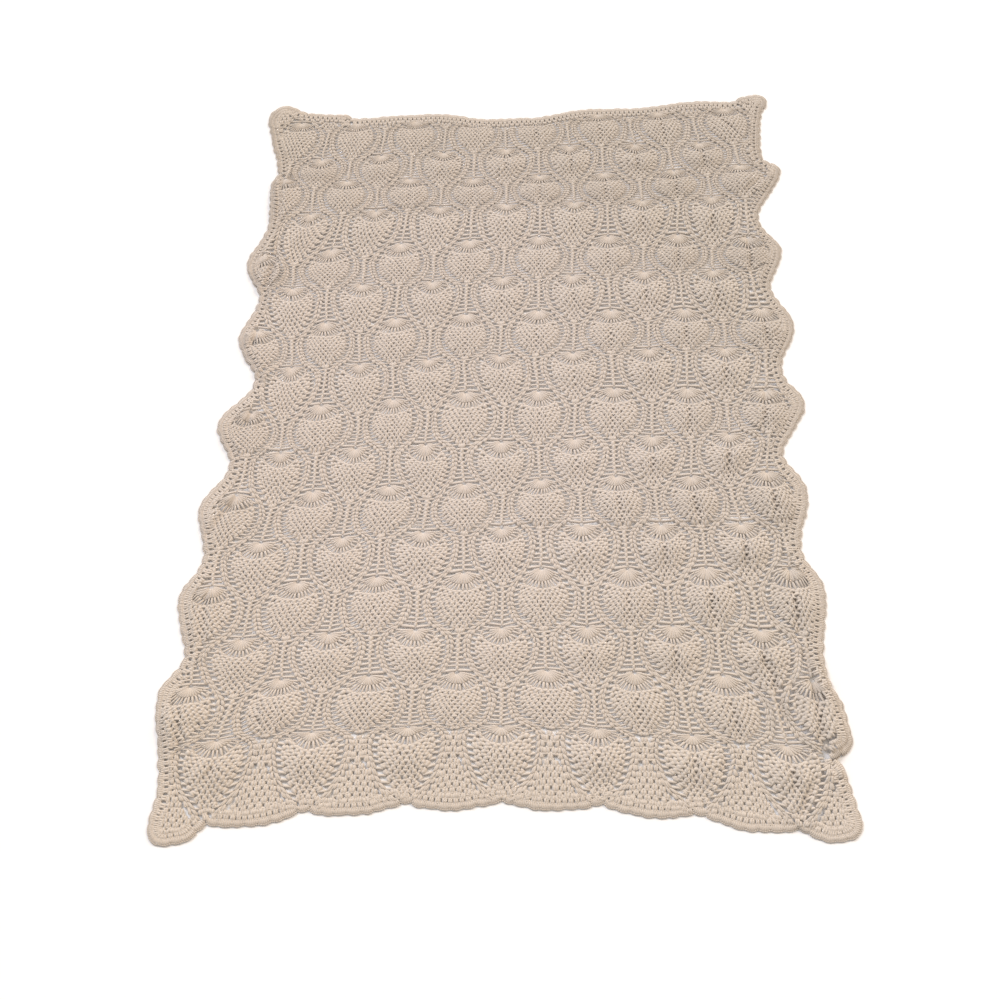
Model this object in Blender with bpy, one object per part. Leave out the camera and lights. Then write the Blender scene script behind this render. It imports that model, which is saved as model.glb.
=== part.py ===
"""A pineapple-stitch crochet throw blanket, laid out flat on the floor.

The blanket is one piece of openwork cloth. Its pineapple motifs stand in half-dropped rows, so every
place on it is given on the motif lattice: u counts motifs to the right from the middle of a row, and v
counts rows from the foot end. The tables below say where each row lies, how far the cloth reaches at its
end, how much its motifs puff up and where the cloth is creased. Sizes are in millimetres until the mesh
is made, in metres. X runs across the blanket, Y along it towards its head end and Z up; the origin is
on the floor under the middle of the blanket.
"""
import math

import bmesh
import bpy
from mathutils import Vector
from mathutils.geometry import delaunay_2d_cdt

for old_object in list(bpy.data.objects):
    bpy.data.objects.remove(old_object, do_unlink=True)

MM = 0.001
SHEET_THICKNESS = 3.0
MOTIF_PITCH = 145.0
ROW_STEP = 95.0
LAST_ROW = 15

# Where each row of motifs lies. A motif of column u sits at x = middle + pitch u + spread u u and
# y = along + slant u + bow u u. left and right are where the cloth's edge is, in columns.
ROW_COLUMNS = ("middle", "pitch", "spread", "along", "slant", "bow", "left", "right")
ROWS = (
    (-15, 159, 0.0, -670, -1.4, -3.2, -3.56, 3.56),
    (-15, 152, 0.0, -578, 0.9, -1.8, -3.84, 3.75),
    (-16, 151, 0.0, -497, 2.6, -1.7, -3.63, 3.67),
    (-14, 148, 0.0, -390, 5.0, -1.2, -3.88, 3.87),
    (-14, 147, 0.0, -302, 6.3, -1.2, -3.67, 3.68),
    (-13, 142, 0.0, -202, 7.0, -0.8, -3.95, 4.00),
    (-18, 143, 1.3, -118, 7.3, 0.0, -3.70, 3.69),
    (-13, 144, 1.0, -1, 7.6, -1.8, -3.93, 3.99),
    (-18, 145, 2.1, 89, 8.5, -0.8, -3.53, 3.70),
    (-15, 147, 1.6, 196, 7.7, -1.7, -3.77, 3.89),
    (-13, 147, 0.5, 287, 8.4, 0.0, -3.47, 3.72),
    (-9, 148, 0.2, 395, 7.7, -1.9, -3.68, 3.97),
    (-4, 146, 1.3, 496, 8.4, -0.7, -3.63, 3.64),
    (-5, 145, 1.5, 578, 6.4, 1.1, -3.71, 4.04),
    (-5, 143, 1.5, 663, 8.6, -0.9, -3.68, 3.84),
    (-5, 139, 1.3, 760, 7.3, 0.7, -4.02, 4.06),
)

# How far nearer than its row a lobe or a notch of the edge lies, in rows.
EDGE_LAG = {"left": {"lobe": 0.0, "notch": 0.1}, "right": {"lobe": 0.17, "notch": 0.35}}

# The head end's edge and its two drawn-out corners, left to right; the notch where the right side's deep
# fold flips over; and the foot end's corners.
HEAD_EDGE = (
    (-4.07, 15.25), (-4.00, 15.61), (-3.83, 15.78), (-3.61, 15.68), (-3.37, 15.50),
    (-2.75, 15.44), (-2.55, 15.30), (-1.79, 15.37), (-1.02, 15.37), (-0.39, 15.18), (0.57, 15.17),
    (1.23, 15.35), (2.21, 15.32), (3.02, 15.44), (3.65, 15.36), (3.81, 15.48), (4.04, 15.55),
    (4.17, 15.43), (4.18, 15.21),
)
FLIPPED_NOTCH = ((3.70, 0.35), (3.53, 0.08), (3.44, 0.00), (3.53, -0.14))
RIGHT_FOOT_CORNER = ((3.61, -0.80), (3.63, -1.10), (3.54, -1.32), (3.33, -1.45))
LEFT_FOOT_CORNER = (
    (-3.15, -1.54), (-3.33, -1.59), (-3.47, -1.56), (-3.56, -1.35), (-3.56, -1.05), (-3.52, -0.72),
)

# The foot end hangs in a wave between each two motifs, and its corners hang lower than its middle.
FOOT_NOTCH_ROW = -1.18
FOOT_WAVE_ROWS = 0.14
FOOT_BOW_ROWS = 0.016
FOOT_WAVE_SAMPLES = (0.0, 0.16, 0.5, 0.84)

# The edging is worked in small shells.
SHELL_PITCH = 21.0
SHELL_RISE = 2.2

# How high the motifs of a row puff up at the left side, the middle and the right side.
PUFF_COLUMNS = ("left", "middle", "right")
PUFFS = (
    (8, 6, 12), (9, 4, 10), (5, 5, 12), (5, 4, 12), (4, 6, 12), (5, 5, 12), (4, 5, 11), (5, 4, 9),
    (4, 4, 9), (5, 5, 8), (4, 6, 9), (4, 5, 9), (5, 5, 9), (6, 6, 9), (5, 8, 9), (4, 5, 6),
)
PUFF_REACH = {"across": 0.31, "along": 0.48, "below_eye": 0.42}
PUFF_GAIN = 1.4
PUFF_CREASE = {"half_width": 0.08, "left": 0.2, "right": 0.6}
LEAST_LIFT = 0.6

# The creases of the long sides and of the head end. The cloth stands up on both sides of each: rise is how
# high, width how far from the crease it stands highest, and line the places that the crease runs through.
CREASE_COLUMNS = ("name", "rise", "width", "line")
CREASES = (
    ("left head", 9, 13, ((-3.58, 13.4), (-3.53, 12.4), (-3.49, 12.0))),
    ("left upper", 10, 15, ((-3.36, 11.5), (-3.30, 10.7), (-3.42, 9.9))),
    ("left middle", 8, 11, ((-3.52, 9.15), (-3.59, 8.7))),
    ("left notch", 7, 10, ((-3.35, 8.3), (-3.52, 7.9))),
    ("left lower, inner", 8, 13, ((-3.38, 7.4), (-3.48, 7.1), (-3.59, 6.6))),
    ("left lower, edge", 6, 9, ((-3.80, 6.9), (-3.66, 6.1))),
    ("left tongue", 8, 14, ((-3.37, 5.3), (-3.56, 4.95), (-3.70, 4.4))),
    ("left foot, upper", 8, 13, ((-3.59, 3.3), (-3.44, 2.0))),
    ("left foot, lower", 8, 14, ((-3.56, 0.8), (-3.40, 0.2), (-3.36, -0.15))),
    ("left foot, corner", 6, 11, ((-2.90, -0.16), (-3.11, -0.72))),
    ("left foot, inner", 4, 10, ((-2.71, 0.75), (-2.54, 0.11))),
    ("right head", 7, 14, ((3.78, 12.7), (3.49, 12.3))),
    ("right upper", 10, 15, ((3.47, 11.4), (3.53, 10.65), (3.52, 9.95))),
    ("right middle, inner", 9, 13, ((3.51, 9.0), (3.56, 8.1))),
    ("right middle, edge", 5, 8, ((3.72, 8.8), (3.62, 8.25))),
    ("right centre", 9, 14, ((3.49, 7.3), (3.50, 6.7), (3.40, 6.0))),
    ("right lower", 9, 14, ((3.53, 5.25), (3.49, 4.3))),
    ("right knee", 11, 14, ((3.49, 3.4), (3.49, 2.7), (3.45, 1.95))),
    ("right hip", 9, 13, ((2.95, 1.9), (3.07, 1.2), (3.06, 0.45))),
    ("right deep crease", 15, 16, ((3.47, 1.76), (3.49, 0.82), (3.35, -0.14))),
    ("right flipped end", 9, 10, ((3.42, -0.16), (3.45, -0.42))),
    ("right foot corner", 8, 15, ((3.17, -0.53), (3.04, -1.1))),
    ("foot", 6, 12, ((2.36, 0.0), (2.25, -0.88))),
    ("head, inner", 4, 10, ((2.05, 14.35), (1.82, 13.67))),
    ("head, middle", 4, 10, ((2.57, 13.3), (2.39, 12.5))),
    ("head, corner", 4, 11, ((3.25, 15.3), (3.70, 14.1))),
)
CREASE_FADE = {"reach": 0.8, "power": 0.7}
CREASE_DEPTH = {"share": 0.8, "half_width": 5.0}

# The cloth comes down to the floor over this far from its edge.
EDGE_REST = 22.0

# The widest gaps of a motif are the two beside its eye, which lies above the motif's place on the lattice.
# Some rows are stretched, with taller gaps.
EYE_ABOVE = 16.0
EYE_GAP = {"middle": 21.0, "length": 15.0, "height": 4.8, "drop": 1.2}
STRETCHED_COLUMNS = ("row", "from_u", "to_u")
STRETCHED_ROWS = ((4, -0.6, 3.7), (6, -3.5, -2.4), (12, -2.3, -1.0), (15, -0.8, 0.9))
STRETCH = 1.6

# The widest gaps of the border lie in a line along the foot end.
BORDER_GAP = {"pitch_u": 0.125, "from_u": -3.25, "to_u": 3.05, "rows_above_edge": 0.2, "size": 5.0}
GAP_CLEARANCE = 7.0

# Places in a motif where the relief gets a point: to the right and along from its place, in mm.
RELIEF_PLACES = ((-19, -36), (19, -36), (0, -40), (0, -80), (47, -40), (-47, -40))
RELIEF_SPACING = 18.0
CREASE_POINT_STEP = 42.0
CREASE_POINT_SPACING = 7.0
POINT_CLEARANCE = 6.0


def named_rows(columns, rows):
    """The rows of a table as dictionaries that are read by column name."""
    return [dict(zip(columns, row)) for row in rows]


row_table = named_rows(ROW_COLUMNS, ROWS)
puff_table = named_rows(PUFF_COLUMNS, PUFFS)
crease_table = named_rows(CREASE_COLUMNS, CREASES)
stretched_table = named_rows(STRETCHED_COLUMNS, STRETCHED_ROWS)


def curve_through(before, start, end, after, t):
    """A smooth curve's value between start and end, which also looks at the values on either side."""
    slope_in = (end - before) / 2
    slope_out = (after - start) / 2
    bend = 3 * (end - start) - 2 * slope_in - slope_out
    twist = 2 * (start - end) + slope_in + slope_out
    return start + t * (slope_in + t * (bend + t * twist))


def row_value(table, name, v):
    """A column of a row table at a place between the rows, held level beyond the first and last row."""
    held = min(max(v, 0.0), float(LAST_ROW))
    below = min(int(held), LAST_ROW - 1)
    near = [table[min(max(below + k, 0), LAST_ROW)][name] for k in (-1, 0, 1, 2)]
    return curve_through(*near, held - below)


def place(u, v):
    """The point of the floor, in mm, that a place of the lattice lies on."""
    along = row_value(row_table, "along", v)
    along += ROW_STEP * (min(v, 0.0) + max(v - LAST_ROW, 0.0))
    x = row_value(row_table, "middle", v) + row_value(row_table, "pitch", v) * u
    x += row_value(row_table, "spread", v) * u * u
    y = along + row_value(row_table, "slant", v) * u + row_value(row_table, "bow", v) * u * u
    return Vector((x, y))


def lattice_of(point):
    """The place of the lattice over a point of the floor, found by a few corrections."""
    u = point.x / MOTIF_PITCH
    v = (point.y - row_table[0]["along"]) / ROW_STEP
    for _ in range(12):
        miss = point - place(u, v)
        u += miss.x / MOTIF_PITCH
        v += miss.y / ROW_STEP
    return u, v


def side_edge(side):
    """The lobes and notches of one long side, from the foot end up, as places of the lattice."""
    places = []
    for row in range(LAST_ROW + 1):
        shape = "lobe" if row % 2 else "notch"
        places.append((row_table[row][side], row - EDGE_LAG[side][shape]))
    return places


def foot_edge():
    """The waves of the foot end, from right to left, as places of the lattice."""
    places = []
    for column in range(-3, 4):
        for sample in FOOT_WAVE_SAMPLES:
            u = column + sample
            wave = FOOT_WAVE_ROWS * math.sin(math.pi * sample)
            places.append((u, FOOT_NOTCH_ROW - wave - FOOT_BOW_ROWS * u * u))
    places = [(u, v) for u, v in places if -3.05 < u < 3.2]
    return list(reversed(places))


def edge_controls():
    """The whole outline as places of the lattice, clockwise from the foot end's left corner."""
    left = side_edge("left")
    right = list(reversed(side_edge("right")))
    right_side = right[:-1] + list(FLIPPED_NOTCH) + right[-1:] + list(RIGHT_FOOT_CORNER)
    return left + list(HEAD_EDGE) + right_side + foot_edge() + list(LEFT_FOOT_CORNER)


def smooth_loop(points, steps):
    """A smooth closed line through the points, with some steps from each to the next."""
    line = []
    count = len(points)
    for i in range(count):
        near = [points[(i + k) % count] for k in (-1, 0, 1, 2)]
        for step in range(steps):
            t = step / steps
            line.append(Vector([curve_through(*[p[axis] for p in near], t) for axis in (0, 1)]))
    return line


def evenly_spaced(line, spacing):
    """An even number of points along a closed line, about so far apart."""
    lengths = [(line[(i + 1) % len(line)] - p).length for i, p in enumerate(line)]
    count = 2 * round(sum(lengths) / spacing / 2)
    gap = sum(lengths) / count
    points = []
    gone = 0.0
    for i, length in enumerate(lengths):
        while len(points) < count and len(points) * gap <= gone + length:
            t = (len(points) * gap - gone) / length
            points.append(line[i].lerp(line[(i + 1) % len(line)], t))
        gone += length
    return points


def shelled_outline():
    """The cloth's outline on the floor, in mm, with the small shells of its edging."""
    controls = [place(u, v) for u, v in edge_controls()]
    points = evenly_spaced(smooth_loop(controls, 8), SHELL_PITCH / 2)
    outline = []
    for i, point in enumerate(points):
        run = points[(i + 1) % len(points)] - points[i - 1]
        outward = Vector((-run.y, run.x)).normalized()
        outline.append(point + outward * (SHELL_RISE if i % 2 else -SHELL_RISE))
    return outline


def columns_of(row):
    """The columns of a row's motifs: seven in the even rows, and eight between them in the odd rows."""
    count = 8 if row % 2 else 7
    return [column - (count - 1) / 2 for column in range(count)]


def stretch_at(row, u):
    """How much taller than usual a row's gaps are there."""
    for stretched in stretched_table:
        if stretched["row"] == row and stretched["from_u"] < u < stretched["to_u"]:
            return STRETCH
    return 1.0


def near_motif(u, row, right, along):
    """A point of the floor by its distance from a motif's place, in mm of even cloth."""
    return place(u + right / MOTIF_PITCH, row + along / ROW_STEP)


def eye_gaps():
    """The two widest gaps of every motif, each with four corners."""
    gaps = []
    half = EYE_GAP["length"] / 2
    for row in range(LAST_ROW + 1):
        for u in columns_of(row):
            rise = EYE_GAP["height"] / 2 * stretch_at(row, u)
            for side in (-1, 1):
                inner = side * (EYE_GAP["middle"] - half)
                outer = side * (EYE_GAP["middle"] + half)
                drop = EYE_GAP["drop"]
                corners = ((inner, rise), (outer, rise - drop), (outer, -rise - drop), (inner, -rise))
                gaps.append([near_motif(u, row, right, EYE_ABOVE + along) for right, along in corners])
    return gaps


def border_gaps():
    """A line of gaps along the foot end, each a small diamond."""
    gaps = []
    count = int((BORDER_GAP["to_u"] - BORDER_GAP["from_u"]) / BORDER_GAP["pitch_u"]) + 1
    half = BORDER_GAP["size"] / 2 * math.sqrt(2)
    for i in range(count):
        u = BORDER_GAP["from_u"] + i * BORDER_GAP["pitch_u"]
        wave = FOOT_WAVE_ROWS * abs(math.sin(math.pi * u))
        edge = FOOT_NOTCH_ROW - wave - FOOT_BOW_ROWS * u * u
        middle = place(u, edge + BORDER_GAP["rows_above_edge"])
        turns = (0.0, 0.5, 1.0, 1.5)
        gaps.append([middle + Vector((math.cos(math.pi * t), math.sin(math.pi * t))) * half for t in turns])
    return gaps


def distance_to_line(point, start, end):
    """How far a point lies from a straight stretch, and how far along the stretch its foot is."""
    run = end - start
    t = min(max((point - start).dot(run) / run.length_squared, 0.0), 1.0)
    return (point - start.lerp(end, t)).length, t


def clear_of_loop(point, loop, clearance):
    """True if a point is at least so far from a closed line."""
    for i, start in enumerate(loop):
        if distance_to_line(point, start, loop[(i + 1) % len(loop)])[0] < clearance:
            return False
    return True


def inside(point, loop):
    """True if a point lies inside a closed line."""
    crossings = 0
    for i, a in enumerate(loop):
        b = loop[(i + 1) % len(loop)]
        if (a.y > point.y) != (b.y > point.y):
            crossings += point.x < a.x + (point.y - a.y) / (b.y - a.y) * (b.x - a.x)
    return crossings % 2 == 1


def gaps_inside(outline):
    """All the gaps that lie on the cloth, clear of its edge."""
    kept = []
    for gap in eye_gaps() + border_gaps():
        if all(inside(corner, outline) and clear_of_loop(corner, outline, GAP_CLEARANCE) for corner in gap):
            kept.append(gap)
    return kept


def puff_height(u, v):
    """How far the motifs lift the cloth: each is a soft mound with a crease down its middle."""
    height = 0.0
    for row in range(max(int(v), 0), min(int(v) + 2, LAST_ROW) + 1):
        for column in columns_of(row):
            across = (u - column) / PUFF_REACH["across"]
            along = (v - row + PUFF_REACH["below_eye"]) / PUFF_REACH["along"]
            left_over = 1 - across * across - along * along
            if left_over <= 0:
                continue
            near_side = "right" if column > 0 else "left"
            share = min(abs(column) / 3.5, 1.0)
            puff = puff_table[row]["middle"] * (1 - share) + puff_table[row][near_side] * share
            depth = PUFF_CREASE["left"] + (PUFF_CREASE["right"] - PUFF_CREASE["left"]) * (column + 3.5) / 7
            if abs(column) == 3.5:
                depth = 0.0     # the sides have creases of their own
            crease = depth * math.exp(-((u - column) / PUFF_CREASE["half_width"]) ** 2)
            height += puff * left_over ** 1.5 * (1 - crease)
    return height


def crease_place(point, line):
    """How far a point lies from a crease, and how far along the crease it is, from 0 to 1."""
    bends = [place(u, v) for u, v in line]
    total = sum((end - start).length for start, end in zip(bends, bends[1:]))
    away, along, gone = math.inf, 0.0, 0.0
    for start, end in zip(bends, bends[1:]):
        distance, t = distance_to_line(point, start, end)
        length = (end - start).length
        if distance < away:
            away, along = distance, (gone + t * length) / total
        gone += length
    return away, along


def rested(point, outline):
    """The share of its lift that the cloth keeps there: none at its edge, all well inside it."""
    away = min(distance_to_line(point, a, b)[0] for a, b in zip(outline, outline[1:] + outline[:1]))
    share = min(away / EDGE_REST, 1.0)
    return share * (2 - share)


def cloth_height(point, outline):
    """The height of the cloth's underside above the floor, in mm. It lies flat where it is hardly lifted."""
    u, v = lattice_of(point)
    height = PUFF_GAIN * puff_height(u, v)
    kept = 1.0
    for crease in crease_table:
        away, along = crease_place(point, crease["line"])
        if away > 4 * crease["width"]:
            continue
        fade = math.sin(math.pi * (along * CREASE_FADE["reach"] + (1 - CREASE_FADE["reach"]) / 2))
        fade = fade ** CREASE_FADE["power"]
        part = away / crease["width"]
        height = max(height, crease["rise"] * fade * part * math.exp((1 - part * part) / 2))
        groove = fade * CREASE_DEPTH["share"] * math.exp(-(away / CREASE_DEPTH["half_width"]) ** 2)
        kept = min(kept, 1 - groove)
    return max(height * kept * rested(point, outline) - LEAST_LIFT, 0.0)


def crease_points():
    """Points along the bottom of every crease, on its two crests and at its two feet."""
    points = []
    for crease in crease_table:
        bends = [place(u, v) for u, v in crease["line"]]
        for start, end in zip(bends, bends[1:]):
            run = end - start
            aside = Vector((-run.y, run.x)).normalized() * crease["width"]
            steps = max(round(run.length / CREASE_POINT_STEP), 1)
            for step in range(steps + 1):
                bottom = start.lerp(end, step / steps)
                points += [bottom, bottom + aside, bottom - aside]
                points += [bottom + 2.2 * aside, bottom - 2.2 * aside]
    return points


def relief_points(outline, gaps):
    """Points inside the cloth that carry its relief, clear of its edge, its gaps and each other."""
    wanted = [(point, CREASE_POINT_SPACING) for point in crease_points()]
    for row in range(LAST_ROW + 1):
        for u in columns_of(row):
            places = [near_motif(u, row, right, along) for right, along in RELIEF_PLACES]
            wanted += [(point, RELIEF_SPACING) for point in places]
    kept = []
    for point, spacing in wanted:
        if not inside(point, outline) or not clear_of_loop(point, outline, POINT_CLEARANCE):
            continue
        near_gaps = [gap for gap in gaps if (gap[0] - point).length < 40]
        if any(not clear_of_loop(point, gap, POINT_CLEARANCE) for gap in near_gaps):
            continue
        if all((point - other).length > spacing for other in kept):
            kept.append(point)
    return kept


def cloth_triangles(outline, gaps, extra):
    """Triangles over the cloth but not over its gaps, as points in the plane and their corners."""
    points = list(outline)
    loops = [list(range(len(outline)))]
    gap_of = {}
    for number, gap in enumerate(gaps):
        loops.append(list(range(len(points), len(points) + len(gap))))
        for corner in loops[-1]:
            gap_of[corner] = number
        points += gap
    points += extra
    edges = [(loop[i], loop[(i + 1) % len(loop)]) for loop in loops for i in range(len(loop))]
    inside_edges = 1
    flat, _, triangles, origins, _, _ = delaunay_2d_cdt(points, edges, [], inside_edges, 1e-6)
    source = [min(origin) for origin in origins]
    kept = []
    for triangle in triangles:
        numbers = {gap_of.get(source[corner], -1 - corner) for corner in triangle}
        if len(numbers) > 1:
            kept.append(triangle)
    return flat, kept


def cloth_material():
    """Matt, unbleached cotton yarn."""
    material = bpy.data.materials.new("natural_cotton_yarn")
    material.use_nodes = True
    shader = material.node_tree.nodes["Principled BSDF"]
    shader.inputs["Base Color"].default_value = (0.62, 0.52, 0.40, 1.0)
    shader.inputs["Roughness"].default_value = 0.9
    shader.inputs["Metallic"].default_value = 0.0
    return material


def make_blanket():
    """The crocheted cloth: triangles extruded to its thickness, then lifted into its relief."""
    outline = shelled_outline()
    low = Vector((min(p.x for p in outline), min(p.y for p in outline)))
    high = Vector((max(p.x for p in outline), max(p.y for p in outline)))
    middle = (low + high) / 2
    gaps = gaps_inside(outline)
    flat, triangles = cloth_triangles(outline, gaps, relief_points(outline, gaps))

    bm = bmesh.new()
    verts = [bm.verts.new(((p.x - middle.x) * MM, (p.y - middle.y) * MM, 0.0)) for p in flat]
    for triangle in triangles:
        bm.faces.new([verts[corner] for corner in triangle])
    loose = [vert for vert in bm.verts if not vert.link_faces]
    bmesh.ops.delete(bm, geom=loose, context="VERTS")
    raised = bmesh.ops.extrude_face_region(bm, geom=bm.faces[:])
    top = [part for part in raised["geom"] if isinstance(part, bmesh.types.BMVert)]
    bmesh.ops.translate(bm, verts=top, vec=(0.0, 0.0, SHEET_THICKNESS * MM))
    for vert in bm.verts:
        vert.co.z += cloth_height(vert.co.xy / MM + middle, outline) * MM
    bmesh.ops.recalc_face_normals(bm, faces=bm.faces[:])
    bmesh.ops.triangulate(bm, faces=bm.faces[:])

    mesh = bpy.data.meshes.new("blanket")
    bm.to_mesh(mesh)
    bm.free()
    mesh.materials.append(cloth_material())
    blanket = bpy.data.objects.new("blanket", mesh)
    bpy.context.collection.objects.link(blanket)
    print("gaps", len(gaps), "triangles", len(mesh.polygons))
    return blanket


make_blanket()
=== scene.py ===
import math

import bmesh
import bpy
import numpy as np
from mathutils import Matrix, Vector


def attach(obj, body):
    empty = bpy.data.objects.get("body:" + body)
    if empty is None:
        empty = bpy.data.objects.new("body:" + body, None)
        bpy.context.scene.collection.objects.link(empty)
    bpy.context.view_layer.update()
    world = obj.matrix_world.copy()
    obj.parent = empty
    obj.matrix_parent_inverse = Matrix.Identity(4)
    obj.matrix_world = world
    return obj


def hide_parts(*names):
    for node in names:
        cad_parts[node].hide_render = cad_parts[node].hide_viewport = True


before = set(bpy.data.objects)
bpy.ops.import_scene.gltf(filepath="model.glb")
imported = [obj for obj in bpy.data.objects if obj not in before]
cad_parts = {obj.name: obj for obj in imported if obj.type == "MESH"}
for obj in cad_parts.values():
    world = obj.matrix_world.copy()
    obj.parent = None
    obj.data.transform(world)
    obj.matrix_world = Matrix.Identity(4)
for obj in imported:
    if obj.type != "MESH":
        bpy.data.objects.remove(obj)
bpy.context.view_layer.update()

# A crochet throw blanket of natural cotton in pineapple stitch. Every stitch is its own small length of yarn.
# Places on the cloth are given on its motif lattice: u counts motifs to the right, v rows from the foot end.
# A motif of column u sits at x = middle + pitch u + spread u u and y = along + slant u + bow u u, in mm.
cloth = {
    "motifPitch": 145.0, "rowStep": 95.0, "lastRow": 15, "lastColumn": 3.5,
    "drawn": 11.0,             # how far the even rows' motifs are drawn out towards the foot end
    "columns": ("middle", "pitch", "spread", "along", "slant", "bow", "left", "right"),
    "rows": (
        (-15, 159, 0.0, -670, -1.4, -3.2, -3.56, 3.56),
        (-15, 152, 0.0, -578, 0.9, -1.8, -3.84, 3.75),
        (-16, 151, 0.0, -497, 2.6, -1.7, -3.63, 3.67),
        (-14, 148, 0.0, -390, 5.0, -1.2, -3.88, 3.87),
        (-14, 147, 0.0, -302, 6.3, -1.2, -3.67, 3.68),
        (-13, 142, 0.0, -202, 7.0, -0.8, -3.95, 4.00),
        (-18, 143, 1.3, -118, 7.3, 0.0, -3.70, 3.69),
        (-13, 144, 1.0, -1, 7.6, -1.8, -3.93, 3.99),
        (-18, 145, 2.1, 89, 8.5, -0.8, -3.53, 3.70),
        (-15, 147, 1.6, 196, 7.7, -1.7, -3.77, 3.89),
        (-13, 147, 0.5, 287, 8.4, 0.0, -3.47, 3.72),
        (-9, 148, 0.2, 395, 7.7, -1.9, -3.68, 3.97),
        (-4, 146, 1.3, 496, 8.4, -0.7, -3.63, 3.64),
        (-5, 145, 1.5, 578, 6.4, 1.1, -3.71, 4.04),
        (-5, 143, 1.5, 663, 8.6, -0.9, -3.68, 3.84),
        (-5, 139, 1.3, 760, 7.3, 0.7, -4.02, 4.06),
    ),
}

edge = {
    "lag": {"left": (0.1, 0.0), "right": (0.35, 0.17)},    # rows by which a notch and a lobe lie nearer
    # the head end from left to right, then the right side's last notch and both corners of the foot end
    "head": (
        (-4.07, 15.25), (-4.00, 15.61), (-3.83, 15.78), (-3.61, 15.68), (-3.37, 15.50),
        (-2.75, 15.44), (-2.55, 15.30), (-1.79, 15.37), (-1.02, 15.37), (-0.39, 15.18), (0.57, 15.17),
        (1.23, 15.35), (2.21, 15.32), (3.02, 15.44), (3.65, 15.36), (3.81, 15.48), (4.04, 15.55),
        (4.17, 15.43), (4.18, 15.21),
    ),
    "flippedNotch": ((3.70, 0.35), (3.53, 0.08), (3.44, 0.00), (3.53, -0.14)),
    "rightFootCorner": ((3.61, -0.80), (3.63, -1.10), (3.54, -1.32), (3.33, -1.45)),
    "leftFootCorner": (
        (-3.15, -1.54), (-3.33, -1.59), (-3.47, -1.56), (-3.56, -1.35), (-3.56, -1.05), (-3.52, -0.72),
    ),
    # the foot end's waves, one for each column
    "footNotch": -1.18, "footWave": 0.14, "footBow": 0.016, "footSamples": (0.0, 0.16, 0.5, 0.84),
    "footColumns": (3, 2, 1, 0, -1, -2, -3), "footFrom": -3.05, "footTo": 3.2,
    "stepsBetween": 8,         # steps of the smooth line from one point of the edge to the next
    "shellPitch": 21.0, "shellRise": 2.2,
}

relief = {
    # how high each row's motifs puff up at the left side, the middle and the right side, in mm
    "puffs": (
        (8, 6, 12), (9, 4, 10), (5, 5, 12), (5, 4, 12), (4, 6, 12), (5, 5, 12), (4, 5, 11), (5, 4, 9),
        (4, 4, 9), (5, 5, 8), (4, 6, 9), (4, 5, 9), (5, 5, 9), (6, 6, 9), (5, 8, 9), (4, 5, 6),
    ),
    "puffAcross": 0.31, "puffAlong": 0.48, "puffBelowEye": 0.42, "puffGain": 1.4, "puffPower": 1.5,
    # a crease down the middle of each puff, but not at the sides, which have creases of their own
    "creaseHalfWidth": 0.045, "creaseLeft": 0.25, "creaseRight": 0.75,
    "leastLift": 0.6, "edgeRest": 22.0,
    # creases of the sides: how high the cloth stands on both sides of each, how far away, and its line
    "creases": (
        (9, 13, ((-3.58, 13.4), (-3.53, 12.4), (-3.49, 12.0))),
        (10, 15, ((-3.36, 11.5), (-3.30, 10.7), (-3.42, 9.9))),
        (8, 11, ((-3.52, 9.15), (-3.59, 8.7))),
        (7, 10, ((-3.35, 8.3), (-3.52, 7.9))),
        (8, 13, ((-3.38, 7.4), (-3.48, 7.1), (-3.59, 6.6))),
        (6, 9, ((-3.80, 6.9), (-3.66, 6.1))),
        (8, 14, ((-3.37, 5.3), (-3.56, 4.95), (-3.70, 4.4))),
        (8, 13, ((-3.59, 3.3), (-3.44, 2.0))),
        (8, 14, ((-3.56, 0.8), (-3.40, 0.2), (-3.36, -0.15))),
        (6, 11, ((-2.90, -0.16), (-3.11, -0.72))),
        (4, 10, ((-2.71, 0.75), (-2.54, 0.11))),
        (7, 14, ((3.78, 12.7), (3.49, 12.3))),
        (10, 15, ((3.47, 11.4), (3.53, 10.65), (3.52, 9.95))),
        (9, 13, ((3.51, 9.0), (3.56, 8.1))),
        (5, 8, ((3.72, 8.8), (3.62, 8.25))),
        (9, 14, ((3.49, 7.3), (3.50, 6.7), (3.40, 6.0))),
        (9, 14, ((3.53, 5.25), (3.49, 4.3))),
        (11, 14, ((3.49, 3.4), (3.49, 2.7), (3.45, 1.95))),
        (9, 13, ((2.95, 1.9), (3.07, 1.2), (3.06, 0.45))),
        (15, 16, ((3.47, 1.76), (3.49, 0.82), (3.35, -0.14))),
        (9, 10, ((3.42, -0.16), (3.45, -0.42))),
        (8, 15, ((3.17, -0.53), (3.04, -1.1))),
        (6, 12, ((2.36, 0.0), (2.25, -0.88))),
        (4, 10, ((2.05, 14.35), (1.82, 13.67))),
        (4, 10, ((2.57, 13.3), (2.39, 12.5))),
        (4, 11, ((3.25, 15.3), (3.70, 14.1))),
    ),
    "fadeFrom": 0.1, "fadePower": 0.7,      # creases fade towards their ends, though not to nothing
    "groove": 0.6, "grooveHalf": 5.0,       # how much of the height is lost in a crease, and its half width
    # rows that were pulled open beside their eyes under a low ridge: row, from u, to u
    "stretched": ((4, -0.6, 3.7), (6, -3.6, -2.4), (12, -2.3, -0.9), (15, -0.8, 0.9)),
    "stretch": 1.2, "stretchTurn": 1.5, "stretchFades": 16.0, "stretchEnds": 25,
    "ridge": 3.0, "ridgeAbove": 7.5, "ridgeHalf": 5.0,
}

rowTable = {name: np.array(values, float) for name, values in zip(cloth["columns"], zip(*cloth["rows"]))}


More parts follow.
